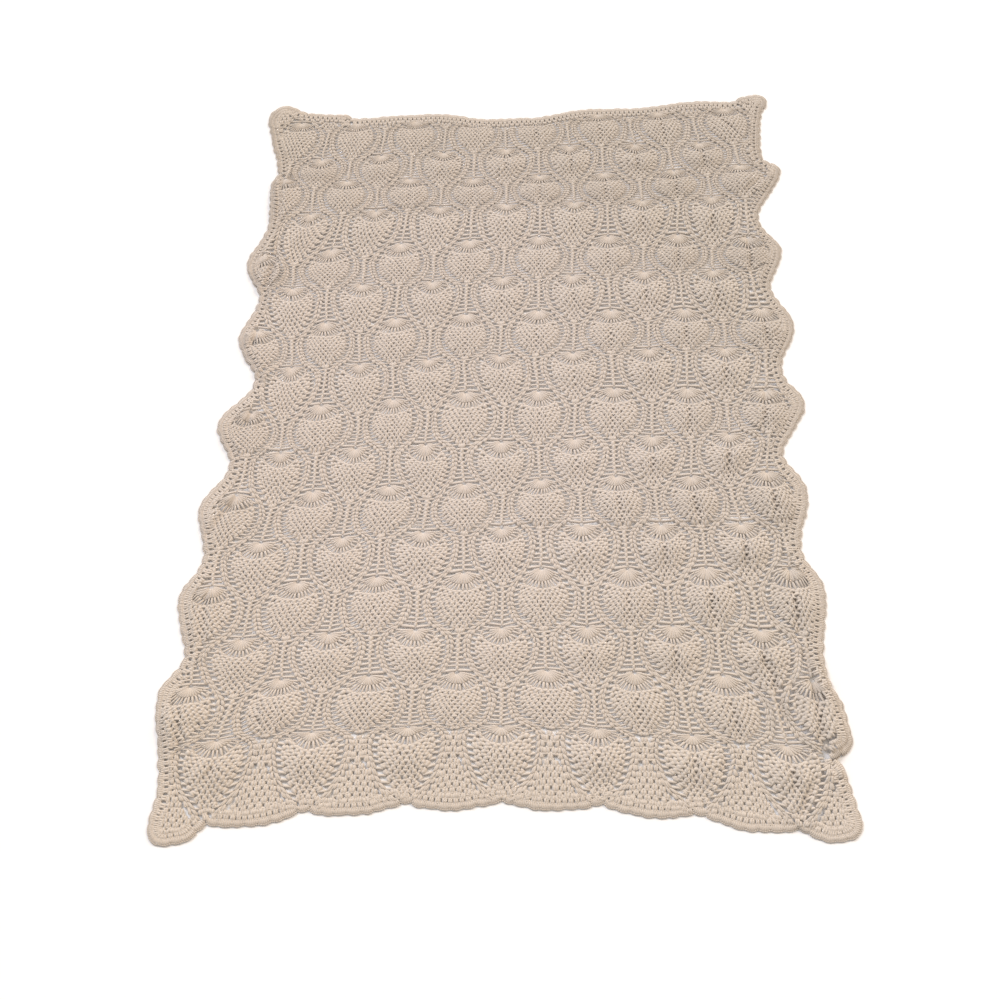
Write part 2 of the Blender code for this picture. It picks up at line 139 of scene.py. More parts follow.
def curveThrough(before, start, end, after, t):
    slopeIn = (end - before) / 2
    slopeOut = (after - start) / 2
    bend = 3 * (end - start) - 2 * slopeIn - slopeOut
    return start + t * (slopeIn + t * (bend + t * (2 * (start - end) + slopeIn + slopeOut)))


def rowValue(name, v):
    held = np.clip(v, 0.0, cloth["lastRow"])
    below = np.minimum(held.astype(int), cloth["lastRow"] - 1)
    near = [rowTable[name][np.clip(below + k, 0, cloth["lastRow"])] for k in (-1, 0, 1, 2)]
    return curveThrough(*near, held - below)


def columnsOf(row):
    # how far a row's motifs stand aside from whole columns, and where its last one stands
    return (0.5, cloth["lastColumn"]) if row % 2 else (0.0, cloth["lastColumn"] - 0.5)


def place(u, v):
    past = np.minimum(v, 0.0) + np.maximum(v - cloth["lastRow"], 0.0)     # beyond the first or last row
    x = rowValue("middle", v) + rowValue("pitch", v) * u + rowValue("spread", v) * u * u
    y = rowValue("along", v) + cloth["rowStep"] * past + rowValue("slant", v) * u + rowValue("bow", v) * u * u
    return np.stack([x, y], axis=-1)


def latticeOf(points):
    u = points[..., 0] / cloth["motifPitch"]
    v = (points[..., 1] - rowTable["along"][0]) / cloth["rowStep"]
    for _ in range(12):
        miss = points - place(u, v)
        u = u + miss[..., 0] / cloth["motifPitch"]
        v = v + miss[..., 1] / cloth["rowStep"]
    return u, v


def edgeControls():
    rows = range(cloth["lastRow"] + 1)
    left = [(rowTable["left"][row], row - edge["lag"]["left"][row % 2]) for row in rows]
    right = [(rowTable["right"][row], row - edge["lag"]["right"][row % 2]) for row in reversed(rows)]
    foot = []
    for column in edge["footColumns"]:
        for sample in reversed(edge["footSamples"]):
            u = column + sample
            wave = edge["footWave"] * math.sin(math.pi * sample)
            foot.append((u, edge["footNotch"] - wave - edge["footBow"] * u * u))
    foot = [(u, v) for u, v in foot if edge["footFrom"] < u < edge["footTo"]]
    rightSide = right[:-1] + list(edge["flippedNotch"]) + right[-1:] + list(edge["rightFootCorner"])
    return np.array(left + list(edge["head"]) + rightSide + foot + list(edge["leftFootCorner"]))


def smoothLoop(points, steps):
    near = [np.roll(points, -k, axis=0)[:, None, :] for k in (-1, 0, 1, 2)]
    t = (np.arange(steps) / steps)[None, :, None]
    return curveThrough(*near, t).reshape(-1, 2)


def evenlySpaced(line, spacing):
    # an even number of points
    closed = np.vstack([line, line[:1]])
    gone = np.concatenate([[0.0], np.cumsum(np.linalg.norm(np.diff(closed, axis=0), axis=1))])
    count = 2 * round(gone[-1] / spacing / 2)
    marks = np.arange(count) * gone[-1] / count
    return np.stack([np.interp(marks, gone, closed[:, axis]) for axis in (0, 1)], axis=-1)


def outwardOf(line):
    run = np.roll(line, -1, axis=0) - np.roll(line, 1, axis=0)
    return np.stack([-run[:, 1], run[:, 0]], axis=-1) / np.linalg.norm(run, axis=1)[:, None]


controls = edgeControls()
smoothEdge = smoothLoop(place(controls[:, 0], controls[:, 1]), edge["stepsBetween"])
edgeLine = evenlySpaced(smoothEdge, edge["shellPitch"] / 2)
ripple = np.where(np.arange(len(edgeLine)) % 2, edge["shellRise"], -edge["shellRise"])
rippledEdge = edgeLine + outwardOf(edgeLine) * ripple[:, None]
middle = (rippledEdge.min(axis=0) + rippledEdge.max(axis=0)) / 2


def distanceInside(points):
    # how far each point lies inside the cloth's edge, negative outside it
    start, end = edgeLine, np.roll(edgeLine, -1, axis=0)
    run = end - start
    atOnce = 4000              # points, for the memory that they take
    result = np.empty(len(points))
    for first in range(0, len(points), atOnce):
        some = points[first:first + atOnce, None, :]
        t = np.clip(((some - start) * run).sum(-1) / (run * run).sum(-1), 0, 1)
        away = np.linalg.norm(some - start - t[..., None] * run, axis=-1).min(axis=1)
        crosses = (start[:, 1] > some[..., 1]) != (end[:, 1] > some[..., 1])
        climb = np.where(run[:, 1] == 0, 1e-9, run[:, 1])
        at = start[:, 0] + (some[..., 1] - start[:, 1]) / climb * run[:, 0]
        inside = (crosses & (some[..., 0] < at)).sum(axis=1) % 2 == 1
        result[first:first + atOnce] = np.where(inside, away, -away)
    return result


def puffHeight(u, v):
    height = np.zeros_like(u)
    last = cloth["lastColumn"]
    for row in range(cloth["lastRow"] + 1):
        offset, reach = columnsOf(row)
        column = np.clip(np.round(u - offset) + offset, -reach, reach)
        across = (u - column) / relief["puffAcross"]
        along = (v - row + relief["puffBelowEye"]) / relief["puffAlong"]
        leftOver = np.clip(1 - across * across - along * along, 0, None)
        left, centre, right = relief["puffs"][row]
        share = np.abs(column) / last
        puff = centre * (1 - share) + np.where(column > 0, right, left) * share
        deeper = relief["creaseRight"] - relief["creaseLeft"]
        depth = relief["creaseLeft"] + deeper * (column + last) / (2 * last)
        depth = np.where(np.abs(column) >= last, 0.0, depth)
        crease = depth * np.exp(-((u - column) / relief["creaseHalfWidth"]) ** 2)
        height += puff * leftOver ** relief["puffPower"] * (1 - crease)
    return height


def creaseLift(points, line):
    # how far points lie from a crease's line, and their place along it from 0 to 1
    bends = place(np.array([u for u, v in line]), np.array([v for u, v in line]))
    lengths = np.linalg.norm(np.diff(bends, axis=0), axis=1)
    away, along = np.full(len(points), np.inf), np.zeros(len(points))
    for start, end, length, gone in zip(bends, bends[1:], lengths, np.cumsum(lengths) - lengths):
        t = np.clip((points - start) @ (end - start) / length ** 2, 0, 1)
        distance = np.linalg.norm(points - start - t[:, None] * (end - start), axis=1)
        along = np.where(distance < away, (gone + t * length) / lengths.sum(), along)
        away = np.minimum(away, distance)
    return away, along


def clothHeight(u, v, points, inside):
    # the face's height in mm: the puffs, or the lobes beside a crease where these stand higher
    lifted = relief["puffGain"] * puffHeight(u, v)
    grooved = np.ones(len(points))
    for rise, width, line in relief["creases"]:
        away, along = creaseLift(points, line)
        faded = along * (1 - 2 * relief["fadeFrom"]) + relief["fadeFrom"]
        fade = np.sin(math.pi * faded) ** relief["fadePower"]
        lobes = away / width * np.exp((1 - (away / width) ** 2) / 2)
        lifted = np.maximum(lifted, rise * fade * lobes)
        deepest = np.exp(-(away / relief["grooveHalf"]) ** 2)
        grooved = np.minimum(grooved, 1 - relief["groove"] * fade * deepest)
    rested = np.clip(inside / relief["edgeRest"], 0, 1)
    return np.maximum(lifted * grooved * rested * (2 - rested) - relief["leastLift"], 0.0)


print("the cloth's lattice, edge and relief are laid out")

# One motif, in mm of even cloth from its place on the lattice: x to the right, y towards the head end.
# The pineapple is worked from its eye down to its tip. Columns of small shells run down both its sides.
# In all that follows, half is half a stitch's width and rise its height at its start, middle and end.
motif = {
    "eye": 17.0, "rowHeight": 95.0 / 11,
    # the pineapple's own side, which the rungs of the ladder reach: y, x
    "side": (
        (17.0, 14.0), (12.0, 20.0), (4.0, 29.5), (-4.0, 35.0), (-12.0, 38.8), (-20.0, 41.0), (-28.0, 41.5),
        (-36.0, 41.0), (-44.0, 39.5), (-52.0, 36.5), (-60.0, 32.0), (-68.0, 27.0), (-76.0, 21.0),
        (-84.0, 14.5), (-92.0, 8.5), (-100.0, 4.0), (-108.0, 1.0),
    ),
}


def sideOf(y):
    heights, reach = zip(*reversed(motif["side"]))
    return float(np.interp(y, heights, reach))


def stitch(start, end, half, rise=(1.6, 1.9, 1.6), sag=0.0):
    # one length of yarn: its ends, half its width at each end, how far its middle sags, and its height
    first, last = half if isinstance(half, tuple) else (half, half)
    bend = ((start[0] + end[0]) / 2, (start[1] + end[1]) / 2 + 2 * sag)
    return (*start, *bend, *end, first, last, *rise)


shells = {
    # where the middle of the shell column runs: y, x. The other half of its wave mirrors this one.
    "path": (
        (77.0, 13.0), (57.0, 14.8), (44.0, 19.0), (31.0, 23.0), (23.0, 28.0), (17.0, 34.5),
        (11.0, 40.0), (4.0, 46.5), (-5.0, 53.3), (-18.0, 59.5),
    ),
    "top": 29.5, "rows": 11, "halfWidth": 8.4,
    "lap": 2.0,                # how far the rungs and bars beside a shell reach into it
    "posts": ((-2.9, -6.3), (-1.2, -3.4), (1.2, 3.4), (2.9, 6.3)),      # how far aside each foot and head is
    "above": 0.9, "below": 0.3, "half": (1.6, 2.3), "rise": (1.2, 1.9, 2.4),
    "barReach": 5.0, "barHalf": 1.7, "barRise": (1.3, 1.6, 1.3),
}


def shellMiddle(y):
    # a shell column's distance from the motif's middle line, also beyond the half wave of the table
    heights, reach = zip(*reversed(shells["path"]))
    turn, lowest = cloth["rowStep"], heights[0]
    period = np.mod(y - lowest, 2 * turn)
    rising = period <= turn
    upper = np.interp(period + lowest, heights, reach)
    lower = cloth["motifPitch"] / 2 - np.interp(period - turn + lowest, heights, reach)
    return float(np.where(rising, upper, lower))


def shellSide(y):
    # how far from the middle line a rung or bar ends in the shells
    return shellMiddle(y) - shells["halfWidth"] + shells["lap"]


def workShells():
    stitches = []
    for number in range(shells["rows"]):
        top = shells["top"] - number * motif["rowHeight"]
        bottom = top - motif["rowHeight"]
        feet, tops = shellMiddle(top), shellMiddle(bottom)
        for side in (-1, 1):
            for foot, head in shells["posts"]:
                start = (side * feet + foot, top + shells["above"])
                end = (side * tops + head, bottom - shells["below"])
                stitches.append(stitch(start, end, shells["half"], shells["rise"]))
            start = (side * tops - shells["barReach"], bottom)
            end = (side * tops + shells["barReach"], bottom)
            stitches.append(stitch(start, end, shells["barHalf"], shells["barRise"]))
    return stitches


fan = {
    # trebles that spread from the eye. At the ring each is as wide as a share of the room that it has there.
    "trebles": 14, "angle": 11.8, "from": 3.0, "to": 24.5,
    "half": 1.4, "share": 1.22, "rise": (1.8, 2.6, 2.2),
    "sideAngle": 83.0, "sideTo": 14.5, "sideHalf": (1.5, 2.0), "sideRise": (1.8, 2.1, 1.8),
    # the spokes between the ring's slits, which lap over the trebles, and the chain that joins their tops
    "spokes": 13, "lap": 2.0, "spokeTo": 38.5, "lastSpokeTo": 34.0,
    "spokeHalf": 1.9, "spokeRise": (2.0, 2.0, 1.8),
    "chainHalf": 2.1, "chainSag": -0.6,
}


def workFan():
    stitches = []

    def along(angle, distance):
        return (math.sin(angle) * distance, motif["eye"] - math.cos(angle) * distance)

    room = fan["to"] * math.radians(fan["angle"]) / 2
    for number in range(fan["trebles"]):
        angle = math.radians((number - (fan["trebles"] - 1) / 2) * fan["angle"])
        half = (fan["half"], fan["share"] * room)
        stitches.append(stitch(along(angle, fan["from"]), along(angle, fan["to"]), half, fan["rise"]))
    for side in (-1, 1):
        angle = math.radians(side * fan["sideAngle"])
        start, end = along(angle, fan["from"]), along(angle, fan["sideTo"])
        stitches.append(stitch(start, end, fan["sideHalf"], fan["sideRise"]))
    tops = []
    for number in range(fan["spokes"]):
        angle = math.radians((number - (fan["spokes"] - 1) / 2) * fan["angle"])
        reach = fan["spokeTo"] if 0 < number < fan["spokes"] - 1 else fan["lastSpokeTo"]
        start, end = along(angle, fan["to"] - fan["lap"]), along(angle, reach)
        stitches.append(stitch(start, end, fan["spokeHalf"], fan["spokeRise"]))
        tops.append(end)
    for start, end in zip(tops, tops[1:]):
        stitches.append(stitch(start, end, fan["chainHalf"], sag=fan["chainSag"]))
    return stitches


ladder = {
    "top": 12.7, "bottom": -93.0, "half": 2.2, "rise": (1.9, 1.6, 1.9), "sag": -0.5,
    "lap": 1.5,                # how far a rung reaches into the pineapple
}


def workLadder():
    stitches = []
    y = ladder["top"]
    while y > ladder["bottom"]:
        for side in (-1, 1):
            start, end = (side * (sideOf(y) - ladder["lap"]), y), (side * shellSide(y), y)
            stitches.append(stitch(start, end, ladder["half"], ladder["rise"], ladder["sag"]))
        y -= motif["rowHeight"]
    return stitches


net = {
    # rows of chain loops: how far the middle of the first lies below the motif's place, and the row step
    "rows": 11, "below": 21.5, "step": 6.9, "bend": 2.6, "samples": 121,
    "inset": 2.6,              # how far each row stops short of the pineapple's side
    "loopWidth": 9.2, "leastLoop": 4.0, "leastKnot": 1.0,      # shorter ones than the least are left out
    "loopHalf": (3.3, 2.7), "knotHalf": (4.2, 3.3),        # at the top and at the tip
    "loopRise": (2.0, 1.8, 2.0), "loopSag": -0.8, "knotRise": (1.8, 2.2, 1.8),
    "fanFrom": 14.0,           # knots of the first row that are farther out hang from the fan
}


def netRow(number):
    # a row of the net as a curve of small steps: where it runs, and how far along it each step is
    below = net["below"] + number * net["step"]
    ends = ladder["top"] - (number + 2) * motif["rowHeight"]
    reach = sideOf(ends)
    xs = np.linspace(-reach, reach, net["samples"])
    ys = -below + (below + ends) * np.abs(xs / reach) ** net["bend"]
    gone = np.concatenate([[0.0], np.cumsum(np.hypot(np.diff(xs), np.diff(ys)))])
    return xs, ys, gone - gone[-1] / 2


def workNet():
    stitches = []
    rows = [netRow(number) for number in range(net["rows"] + 1)]
    for number, (xs, ys, gone) in enumerate(rows[:-1]):
        share = number / (net["rows"] - 1)
        loopHalf, knotHalf = [top + (tip - top) * share for top, tip in (net["loopHalf"], net["knotHalf"])]
        loops = [(k + number % 2 / 2) * net["loopWidth"] for k in range(-8, 8)]
        last = gone[-1] - net["inset"]
        marks = [-last] + [mark for mark in loops if abs(mark) < last - net["leastLoop"]] + [last]
        knots = [(float(np.interp(mark, gone, xs)), float(np.interp(mark, gone, ys))) for mark in marks]
        for start, end in zip(knots, knots[1:]):
            stitches.append(stitch(start, end, loopHalf, net["loopRise"], net["loopSag"]))
        lowerXs, lowerYs, _ = rows[number + 1]
        for x, y in knots:
            near = np.argmin(np.hypot(lowerXs - x, lowerYs - y))
            foot = (float(lowerXs[near]), float(lowerYs[near]))
            if y - foot[1] > net["leastKnot"]:
                stitches.append(stitch((x, y), foot, knotHalf, net["knotRise"]))
            if number == 0 and abs(x) > net["fanFrom"]:
                inner = fan["spokeTo"] / math.hypot(x, y - motif["eye"])
                start = (x * inner, motif["eye"] + (y - motif["eye"]) * inner)
                stitches.append(stitch(start, (x, y), knotHalf, net["knotRise"]))
    return stitches


stem = {
    "top": 97.0, "lap": 0.8,
    "half": (2.5, 4.2), "rise": (1.8, 2.2, 1.8),           # half: at the eye and at the top
    "barHalf": 2.5, "barRise": (2.0, 1.8, 1.9), "barSag": -0.4,
    "footFrom": (2.4, 21.6), "footTo": (26.0, 21.2), "footHalf": 2.4, "footRise": (1.7, 1.8, 1.7),
}


def workStem():
    stitches = []
    for side in (-1, 1):
        start, end = [(side * x, y) for x, y in (stem["footFrom"], stem["footTo"])]
        stitches.append(stitch(start, end, stem["footHalf"], stem["footRise"]))
    y = ladder["top"] + motif["rowHeight"]
    while y < stem["top"]:
        top = y + motif["rowHeight"]
        half = float(np.interp(y, (motif["eye"], stem["top"]), stem["half"]))
        stitches.append(stitch((0.0, top + stem["lap"]), (0.0, y - stem["lap"]), half, stem["rise"]))
        for side in (-1, 1):
            end = (side * shellSide(y), y)
            stitches.append(stitch((0.0, y), end, stem["barHalf"], stem["barRise"], stem["barSag"]))
        y += motif["rowHeight"]
    return stitches


border = {
    # plain mesh: pairs of doubles with a small hole between the pairs, staggered from row to row
    "top": 88.0, "bottom": -104.0, "pitch": 11.4,
    "past": 1.0,               # how far into the shells a pair's middle may stand
    "aside": 2.0, "footSpread": 1.1, "above": 0.6, "below": 0.4, "half": 2.75, "rise": (1.8, 2.2, 1.9),
    "barReach": 6.6, "barHalf": 2.8, "barRise": (1.8, 2.0, 1.8),
}


def workBorder():
    stitches = []
    step = motif["rowHeight"]
    number = 0
    y = border["top"]
    while y > border["bottom"]:
        reach = shellMiddle(y - step / 2) - shells["halfWidth"]
        pairs = int(reach / (border["pitch"] / 2)) + 1
        for pair in range(-pairs, pairs + 1):
            x = pair * border["pitch"] + (border["pitch"] / 2 if number % 2 else 0.0)
            if abs(x) > reach + border["past"]:
                continue
            for aside in (-border["aside"], border["aside"]):
                start = (x + aside * border["footSpread"], y + border["above"])
                end = (x + aside, y - step - border["below"])
                stitches.append(stitch(start, end, border["half"], border["rise"]))
            start, end = (x - border["barReach"], y - step), (x + border["barReach"], y - step)
            stitches.append(stitch(start, end, border["barHalf"], border["barRise"]))
        y -= step
        number += 1
    return stitches


def worked(sites, tile):
    # a copy of the tile's stitches at every site, each a row of numbers
    tile = np.array(tile)
    copies = []
    for u, v in sites:
        copy = tile.copy()
        copy[:, [0, 2, 4]] += u * cloth["motifPitch"]
        copy[:, [1, 3, 5]] += v * cloth["rowStep"]
        copies.append(copy)
    return np.concatenate(copies)


def sitesOfCloth():
    # where the pineapples sit, and the sites around them that plain cloth fills up to the edge
    real, plain = [], []
    for row in range(-2, cloth["lastRow"] + 3):
        offset, reach = columnsOf(row)
        for column in range(-5, 6):
            u = column + offset
            own = 0 <= row <= cloth["lastRow"] + 1 and abs(u) <= reach
            (real if own else plain).append((u, row))
    return real, plain


edging = {
    # outermost a row of small shells: posts whose heads fan out and drop to both sides, and a rim of chain
    "posts": 7, "footReach": 7.8, "footDepth": 9.6, "headReach": 9.8, "headOut": 1.2, "drop": 2.4,
    "half": (1.8, 2.2), "rise": (1.7, 1.9, 1.1),
    "rimReach": 10.4, "rimOut": 1.6, "rimHalf": 1.5, "rimRise": (0.9, 1.0, 0.9),
    # then two rows of pairs with small holes: how far in each row lies and how far aside its pairs stand
    "rows": ((8.4, 0.0), (16.2, 5.2)), "rowHeight": 8.6, "aside": 1.9,
    "pairHalf": 2.35, "pairRise": (1.8, 2.1, 1.8),
    "barIn": 0.2, "barReach": 5.6, "barHalf": 2.0, "barRise": (1.8, 1.9, 1.8),
}


def workEdging():
    # all of it stands square to the edge
    stitches = []
    outward = outwardOf(edgeLine)
    along = np.stack([outward[:, 1], -outward[:, 0]], axis=-1)
    middlePost = (edging["posts"] - 1) / 2
    for number, (point, out, run) in enumerate(zip(edgeLine, outward, along)):
        def at(across, inwards):
            spot = point + run * across - out * inwards
            return (float(spot[0]), float(spot[1]))
        if number % 2:
            rim = []
            for post in range(edging["posts"]):
                share = (post - middlePost) / middlePost
                drop = edging["drop"] * share * share
                foot = at(edging["footReach"] * share, edging["footDepth"])
                head = at(edging["headReach"] * share, drop - edging["headOut"])
                stitches.append(stitch(foot, head, edging["half"], edging["rise"]))
                rim.append(at(edging["rimReach"] * share, drop - edging["rimOut"]))
            for start, end in zip(rim, rim[1:]):
                stitches.append(stitch(start, end, edging["rimHalf"], edging["rimRise"]))
        for depth, shift in edging["rows"]:
            for aside in (shift - edging["aside"], shift + edging["aside"]):
                start, end = at(aside, depth + edging["rowHeight"]), at(aside, depth)
                stitches.append(stitch(start, end, edging["pairHalf"], edging["pairRise"]))
            inwards = depth + edging["barIn"]
            start, end = at(-edging["barReach"], inwards), at(edging["barReach"], inwards)
            stitches.append(stitch(start, end, edging["barHalf"], edging["barRise"]))
    return np.array(stitches)


handwork = {
    "seed": 5,
    "aside": 0.36, "middle": 0.2,                  # how unevenly the stitches and their middles lie, in mm
    "roomX": 640, "roomY": 900,                    # no stitch lies farther out
    "clearOfEdge": 17.5,                           # room for the edging
}

rng = np.random.default_rng(handwork["seed"])
realSites, plainSites = sitesOfCloth()
pineapple = workFan() + workNet() + workLadder() + workStem() + workShells()
plainCloth = workBorder() + workShells()
clothStitches = np.concatenate([worked(realSites, pineapple), worked(plainSites, plainCloth)])
jitter = rng.normal(0, handwork["aside"], (len(clothStitches), 2))
clothStitches[:, 0:2] += jitter
clothStitches[:, 2:4] += jitter + rng.normal(0, handwork["middle"], jitter.shape)
clothStitches[:, 4:6] += jitter
spots = (clothStitches[:, 0:2] + clothStitches[:, 4:6]) / 2
spots = place(spots[:, 0] / cloth["motifPitch"], spots[:, 1] / cloth["rowStep"])
near = (np.abs(spots[:, 0]) < handwork["roomX"]) & (np.abs(spots[:, 1]) < handwork["roomY"])
clothStitches, spots = clothStitches[near], spots[near]
clothStitches = clothStitches[distanceInside(spots) > handwork["clearOfEdge"]]
edgingStitches = workEdging()
print("stitches worked:", len(clothStitches), "in the cloth and", len(edgingStitches), "in the edging")

yarn = {
    "sides": 4, "rings": 2, "blunt": 0.35,         # how each stitch is drawn, with blunt ends
    "upright": 1.25,                               # half the height of its section at most, in mm
    "thickness": (0.94, 1.06), "level": (-0.1, 0.1),       # how unevenly it is spun, and how unevenly it lies
    "raised": 0.3,                                 # the cloth stands on its raised stitches, in mm
    "loft": 0.6, "loftFrom": 70.0, "loftPower": 0.7,       # away from its edge it also lies a little hollow
    "plies": 3,                                    # how many strands it is plied of
    "around": 2.2,                                 # added to its width where its area is compared, in mm
}

wander = {
    # how the rows wander: how far in mm, over what length in mm, and the seeds across and along
    "everywhere": ((1.1, 60, 1, 2), (0.7, 27, 5, 6)),
    "inCloth": ((2.2, 210, 3, 4),),
    "waves": 6, "lengths": (0.7, 1.5),
}


def yarnShape():
    # a closed length of yarn, from a sphere: along it 0 to 1, around it, its fullness, and its faces
    bm = bmesh.new()
    bmesh.ops.create_uvsphere(bm, u_segments=yarn["sides"], v_segments=yarn["rings"] + 1, radius=1.0)
    along, around, fullness = [], [], []
    for vert in bm.verts:
        along.append(0.5 + 0.5 * math.copysign(abs(vert.co.z) ** yarn["blunt"], vert.co.z))
        around.append(math.atan2(vert.co.y, vert.co.x))
        fullness.append(1.0 if math.hypot(vert.co.x, vert.co.y) > 0.1 else 0.0)
    faces = [[vert.index for vert in face.verts] for face in bm.faces]
    bm.free()
    return np.array(along), np.array(around), np.array(fullness), faces


def unevenness(points, wavelength, seed):
    # a smooth random field, about -1 to 1
    draws = np.random.default_rng(seed)
    total = np.zeros(len(points))
    for _ in range(wander["waves"]):
        angle, phase = draws.uniform(0, 2 * math.pi, 2)
        size = 2 * math.pi / (wavelength * draws.uniform(*wander["lengths"]))
        total += np.sin((points[:, 0] * math.cos(angle) + points[:, 1] * math.sin(angle)) * size + phase)
    return total / (wander["waves"] / 2)


def pulledOpen(u, v):
    # even rows' motifs are drawn out, and the stretched rows open up beside their eyes, under a low ridge
    step = cloth["rowStep"]
    v = v + cloth["drawn"] / step * (np.cos(math.pi * v) - np.cos(2 * math.pi * u)) / 2
    ridge = np.zeros(len(u))
    ends = relief["stretchEnds"]
    for row, fromU, toU in relief["stretched"]:
        past = v * step - row * step - motif["eye"]
        among = 1 / (1 + np.exp(-(u - fromU) * ends)) / (1 + np.exp((u - toU) * ends))
        opened = relief["stretch"] * np.tanh(past / relief["stretchTurn"])
        opened = opened * np.exp(-np.abs(past) / relief["stretchFades"])
        v = v + among * opened / step
        ridge = ridge + among * np.exp(-((past - relief["ridgeAbove"]) / relief["ridgeHalf"]) ** 2)
    return v, relief["ridge"] * ridge


def spunYarn(stitches, isCloth, shape):
    # all the stitches' vertices in metres and their place on the yarn, and every stitch's row and area
    along, around, fullness, _ = shape
    count = len(stitches)
    t = along[None, :]
    start, bend, end = [stitches[:, k:k + 2][:, None, :] for k in (0, 2, 4)]
    near, far = (1 - t)[..., None], t[..., None]
    centre = near * near * start + 2 * near * far * bend + far * far * end
    run = 2 * near * (bend - start) + 2 * far * (end - bend)
    run = run / np.maximum(np.linalg.norm(run, axis=-1, keepdims=True), 1e-6)
    aside = np.stack([-run[..., 1], run[..., 0]], axis=-1)
    half = stitches[:, 6:7] * (1 - t) + stitches[:, 7:8] * t
    half = half * fullness[None, :] * rng.uniform(*yarn["thickness"], (count, 1))
    flat = centre + aside * (half * np.cos(around)[None, :])[..., None]
    low, mid, high = [stitches[:, k:k + 1] for k in (8, 9, 10)]
    lift = (1 - t) ** 2 * low + 2 * t * (1 - t) * (2 * mid - (low + high) / 2) + t ** 2 * high
    lift = lift + rng.uniform(*yarn["level"], (count, 1))
    lift = lift + yarn["raised"] + np.minimum(half, yarn["upright"]) * np.sin(around)[None, :]
    flat = flat.reshape(-1, 2)
    ridge = 0.0
    wanders = wander["everywhere"]
    if isCloth:
        u = flat[:, 0] / cloth["motifPitch"]
        v, ridge = pulledOpen(u, flat[:, 1] / cloth["rowStep"])
        ridge = ridge.reshape(count, -1)
        flat = place(u, v)
        wanders = wanders + wander["inCloth"]
    else:
        u, v = latticeOf(flat)
    for most, over, seedX, seedY in wanders:
        flat = flat + most * np.stack([unevenness(flat, over, seedX), unevenness(flat, over, seedY)], axis=-1)
    placed = flat.reshape(count, -1, 2)
    inside = distanceInside(placed[:, 0])
    loft = yarn["loft"] * np.clip(inside / yarn["loftFrom"], 0, 1) ** yarn["loftPower"]
    lift = np.maximum(lift, 0.0) + loft[:, None] + ridge
    z = clothHeight(u, v, flat, np.repeat(inside, len(along))) + lift.reshape(-1)
    verts = np.column_stack([flat - middle, z]) / 1000
    ends = np.flatnonzero(fullness == 0)
    length = np.linalg.norm(placed[:, ends[0]] - placed[:, ends[1]], axis=1)
    twist = np.column_stack([(length[:, None] * t).reshape(-1), np.tile(around / (2 * math.pi) + 0.5, count)])
    area = length * (stitches[:, 6] + stitches[:, 7] + yarn["around"])
    return verts, twist, v.reshape(count, -1).mean(axis=1), area


# the stitches are joined into strips across the blanket with about the same area of yarn
strips = {"count": 5, "flat": (1.17, 0.32)}


def buildStrips():
    shape = yarnShape()
    made = [spunYarn(clothStitches, True, shape), spunYarn(edgingStitches, False, shape)]
    verts, twists, rows, areas = [np.concatenate(parts) for parts in zip(*made)]
    each, faces = len(shape[0]), shape[3]
    order = np.argsort(rows)
    gone = np.cumsum(areas[order])
    shares = gone[-1] * np.arange(1, strips["count"]) / strips["count"]
    cuts = [-np.inf, *rows[order][np.searchsorted(gone, shares)], np.inf]
    pieces = []
    for number, (low, high) in enumerate(zip(cuts, cuts[1:]), start=1):
        chosen = np.flatnonzero((rows >= low) & (rows < high))
        index = (chosen[:, None] * each + np.arange(each)).reshape(-1)
        loops, sizes = [], []
        for size in (3, 4):
            some = np.array([face for face in faces if len(face) == size])
            copies = (np.arange(len(chosen))[:, None, None] * each + some).reshape(-1, size)
            loops.append(copies.reshape(-1))
            sizes.append(np.full(len(copies), size))
        pieces.append(stripMesh(f"blanket_stitches_{number}", verts[index], twists[index],
                                np.concatenate(loops), np.concatenate(sizes)))
    return pieces


def addMap(mesh, name, uvs):
    layer = mesh.uv_layers.new(name=name)
    layer.data.foreach_set("uv", uvs.astype(np.float32).ravel())


def stripMesh(name, verts, twist, loops, sizes):
    mesh = bpy.data.meshes.new(name)
    mesh.vertices.add(len(verts))
    mesh.vertices.foreach_set("co", verts.astype(np.float32).ravel())
    mesh.loops.add(len(loops))
    mesh.loops.foreach_set("vertex_index", loops.astype(np.int32))
    mesh.polygons.add(len(sizes))
    starts = np.concatenate([[0], np.cumsum(sizes)[:-1]])
    mesh.polygons.foreach_set("loop_start", starts.astype(np.int32))
    mesh.polygons.foreach_set("use_smooth", np.ones(len(sizes), bool))
    mesh.update(calc_edges=True)
    bm = bmesh.new()
    bm.from_mesh(mesh)
    bmesh.ops.recalc_face_normals(bm, faces=bm.faces[:])
    bm.to_mesh(mesh)
    bm.free()
    order = np.zeros(len(mesh.loops), np.int32)
    mesh.loops.foreach_get("vertex_index", order)
    normals = np.zeros(len(mesh.polygons) * 3, np.float32)
    mesh.polygons.foreach_get("normal", normals)
    totals = np.zeros(len(mesh.polygons), np.int32)
    mesh.polygons.foreach_get("loop_total", totals)
    # a map from above, with the faces that look down in its other half
    under = np.repeat(normals.reshape(-1, 3)[:, 2] < 0, totals)
    low, high = verts.min(axis=0), verts.max(axis=0)
    spread = (verts[order] - low) / (high - low)
    addMap(mesh, "OFBake", np.column_stack([spread[:, 0], spread[:, 1] * 0.495 + np.where(under, 0.5, 0.0)]))
    # a map of the yarn: cm along it, and turns around it without a jump where they start again
    twist = twist[order] * (0.1, 1.0)
    begins = np.concatenate([[0], np.cumsum(totals)[:-1]])
    least = np.repeat(np.minimum.reduceat(twist[:, 1], begins), totals)
    twist[:, 1] -= np.where(twist[:, 1] - least > 0.6, 1.0, 0.0)
    addMap(mesh, "yarn", twist)
    piece = bpy.data.objects.new(name, mesh)
    bpy.context.scene.collection.objects.link(piece)
    return piece


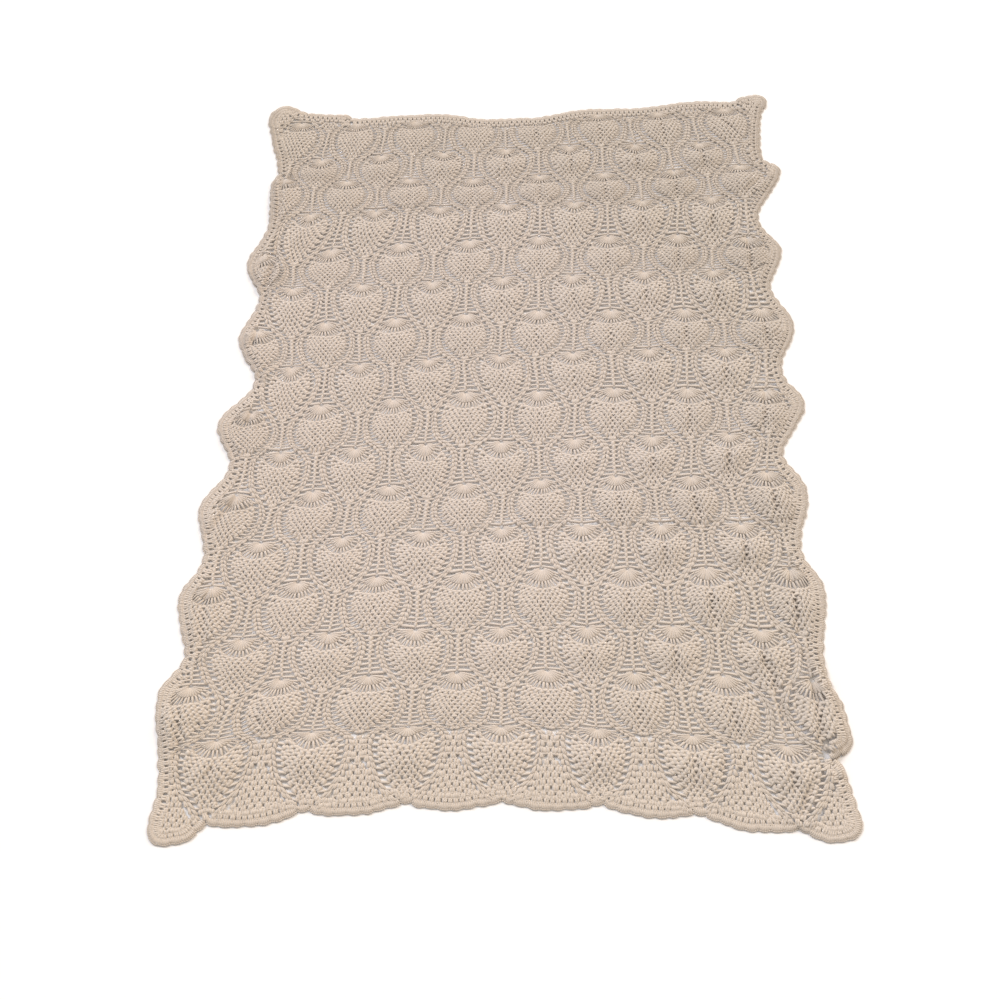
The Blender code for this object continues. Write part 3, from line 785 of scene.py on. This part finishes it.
def toLinear(hexColour):
    parts = [int(hexColour[k:k + 2], 16) / 255 for k in (1, 3, 5)]
    linear = [c / 12.92 if c <= 0.04045 else ((c + 0.055) / 1.055) ** 2.4 for c in parts]
    return (*linear, 1.0)


def addNode(tree, kind, settings=None, links=None):
    node = tree.nodes.new(kind)
    for key, value in (settings or {}).items():
        if isinstance(key, int) or key in node.inputs:
            node.inputs[key].default_value = value
        else:
            setattr(node, key, value)
    for key, socket in (links or {}).items():
        tree.links.new(socket, node.inputs[key])
    return node


cotton = {
    "colours": ("#d3c8bc", "#dacfc6"), "turns": (0.1, 0.6),       # painted light falloff: darker and a little warmer towards the edges, paler in the middle
    # painted light: the pale middle lies a little left of the cloth's middle, as if more light falls from the
    # left
    "inwards": {"Scale": (1.35, 1.0, 0.0), "Location": (0.22, 0.0, 0.0)},
    "patches": 3.2, "patchTone": (0.5, -0.25),                    # uneven patches about 0.3 m wide
    "flecks": 420.0, "fleckTone": (0.9, 1.06),                    # flecks of seed and fibre, about 2.4 mm
    "bump": 0.2, "bumpHeight": 0.0004,
}


def cottonYarn():
    # unbleached cotton yarn, spun and plied: matt, a little fuzzy, warm and slightly uneven in colour, with
    # painted light that is paler in the middle and falls off towards the edges
    material = bpy.data.materials.new("naturalCottonYarn")
    material.use_nodes = True
    tree = material.node_tree
    shader = tree.nodes["Principled BSDF"]
    shader.inputs["Roughness"].default_value = 0.92
    shader.inputs["Diffuse Roughness"].default_value = 0.45
    shader.inputs["Specular IOR Level"].default_value = 0.25
    shader.inputs["Sheen Weight"].default_value = 0.25
    shader.inputs["Sheen Roughness"].default_value = 0.6
    spot = addNode(tree, "ShaderNodeTexCoord")
    # painted light: a spherical falloff, paler round a middle left of the cloth's own and darker towards the
    # edges
    paintedLightCentre = addNode(tree, "ShaderNodeMapping", cotton["inwards"], {"Vector": spot.outputs["Object"]})
    paintedLightFalloff = addNode(tree, "ShaderNodeTexGradient", {"gradient_type": "SPHERICAL"},
                   {"Vector": paintedLightCentre.outputs[0]})
    wide = addNode(tree, "ShaderNodeTexNoise", {"Scale": cotton["patches"], "Detail": 2.0},
                   {"Vector": spot.outputs["Object"]})
    gain, shift = cotton["patchTone"]
    mottled = addNode(tree, "ShaderNodeMath", {"operation": "MULTIPLY_ADD", 1: gain, 2: shift},
                      {0: wide.outputs["Fac"]})
    # the painted light falloff and the random patches together pick the colour from the ramp
    where = addNode(tree, "ShaderNodeMath", {"operation": "ADD"},
                    {0: paintedLightFalloff.outputs["Fac"], 1: mottled.outputs[0]})
    tone = addNode(tree, "ShaderNodeValToRGB", {}, {"Fac": where.outputs[0]})
    for element, turn, colour in zip(tone.color_ramp.elements, cotton["turns"], cotton["colours"]):
        element.position = turn
        element.color = toLinear(colour)
    fine = addNode(tree, "ShaderNodeTexNoise", {"Scale": cotton["flecks"], "Detail": 3.0},
                   {"Vector": spot.outputs["Object"]})
    darkest, palest = cotton["fleckTone"]
    fleck = addNode(tree, "ShaderNodeMapRange", {"To Min": darkest, "To Max": palest},
                    {"Value": fine.outputs["Fac"]})
    flecked = addNode(tree, "ShaderNodeMix", {"data_type": "RGBA", "blend_type": "MULTIPLY", 0: 1.0},
                      {6: tone.outputs["Color"], 7: fleck.outputs[0]})
    tree.links.new(flecked.outputs[2], shader.inputs["Base Color"])
    # the plies wind round the yarn. Single fibres are too fine to show, so the flecks stand in for them.
    along = addNode(tree, "ShaderNodeUVMap", {"uv_map": "yarn"})
    winding = {"bands_direction": "DIAGONAL", "Scale": 0.2 * math.pi * yarn["plies"]}
    plies = addNode(tree, "ShaderNodeTexWave", winding, {"Vector": along.outputs[0]})
    fibres = addNode(tree, "ShaderNodeMath", {"operation": "ADD"},
                     {0: plies.outputs["Fac"], 1: fine.outputs["Fac"]})
    bump = addNode(tree, "ShaderNodeBump", {"Strength": cotton["bump"], "Distance": cotton["bumpHeight"]},
                   {"Height": fibres.outputs[0]})
    tree.links.new(bump.outputs[0], shader.inputs["Normal"])
    return material


floor = {"half": 8.0, "below": 0.0004, "colour": "#f3f2f3", "roughness": 0.9}      # in metres


def makeFloor():
    bm = bmesh.new()
    bmesh.ops.create_grid(bm, x_segments=1, y_segments=1, size=floor["half"])
    bmesh.ops.translate(bm, verts=bm.verts[:], vec=(0.0, 0.0, -floor["below"]))
    mesh = bpy.data.meshes.new("studio_floor")
    bm.to_mesh(mesh)
    bm.free()
    material = bpy.data.materials.new("paleFloorPaint")     # matt white floor paint, rolled
    material.use_nodes = True
    shader = material.node_tree.nodes["Principled BSDF"]
    shader.inputs["Base Color"].default_value = toLinear(floor["colour"])
    shader.inputs["Roughness"].default_value = floor["roughness"]
    mesh.materials.append(material)
    piece = bpy.data.objects.new("studio_floor", mesh)
    bpy.context.scene.collection.objects.link(piece)


studio = {
    # the camera stands back from the lattice's origin and a little to its left, and looks down and ahead
    "cameraAside": 18.0, "cameraBack": 1215.0, "cameraHeight": 1800.0,      # in mm
    "tilt": 28.8, "lens": 39.6, "sensor": 36.0,
    # even light from far, wide sources: name, azimuth from the right side round to the head end, elevation,
    # both in degrees, power and colour
    "lights": (("window", 134.0, 35.0, 2.55, "#f2f3fa"), ("lamp", 36.0, 32.0, 2.0, "#ffebd3")),
    "lightWidth": 30.0, "lightAway": 4,
    "surroundings": "#f8f3ec", "surroundingsPower": 0.54,
}


def addSoftLight(name, azimuth, elevation, power, colour):
    light = bpy.data.lights.new(name, "SUN")
    light.angle = math.radians(studio["lightWidth"])
    light.energy = power
    light.color = toLinear(colour)[:3]
    holder = bpy.data.objects.new(name, light)
    bpy.context.scene.collection.objects.link(holder)
    across = math.cos(math.radians(elevation))
    source = Vector((across * math.cos(math.radians(azimuth)), across * math.sin(math.radians(azimuth)),
                     math.sin(math.radians(elevation))))
    holder.location = studio["lightAway"] * source
    holder.rotation_euler = source.to_track_quat("Z", "Y").to_euler()


def makeStudio():
    camera = bpy.data.cameras.new("camera")
    camera.lens = studio["lens"]
    camera.sensor_width = studio["sensor"]
    holder = bpy.data.objects.new("camera", camera)
    x, y = studio["cameraAside"] + middle[0], studio["cameraBack"] + middle[1]
    holder.location = (-x / 1000, -y / 1000, studio["cameraHeight"] / 1000)
    holder.rotation_euler = (math.radians(studio["tilt"]), 0.0, 0.0)
    bpy.context.scene.collection.objects.link(holder)
    bpy.context.scene.camera = holder
    for light in studio["lights"]:
        addSoftLight(*light)
    world = bpy.data.worlds.new("studio")
    world.use_nodes = True
    background = world.node_tree.nodes["Background"]
    background.inputs["Color"].default_value = toLinear(studio["surroundings"])
    background.inputs["Strength"].default_value = studio["surroundingsPower"]
    bpy.context.scene.world = world
    bpy.context.scene.view_settings.view_transform = "Standard"


yarnMaterial = cottonYarn()
for strip in buildStrips():
    strip.data.materials.append(yarnMaterial)
    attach(strip, "root")
    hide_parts("blanket")
    triangles = sum(len(polygon.vertices) - 2 for polygon in strip.data.polygons)
    print(strip.name, "has", triangles, "triangles")
makeFloor()
makeStudio()
print("the studio is lit")
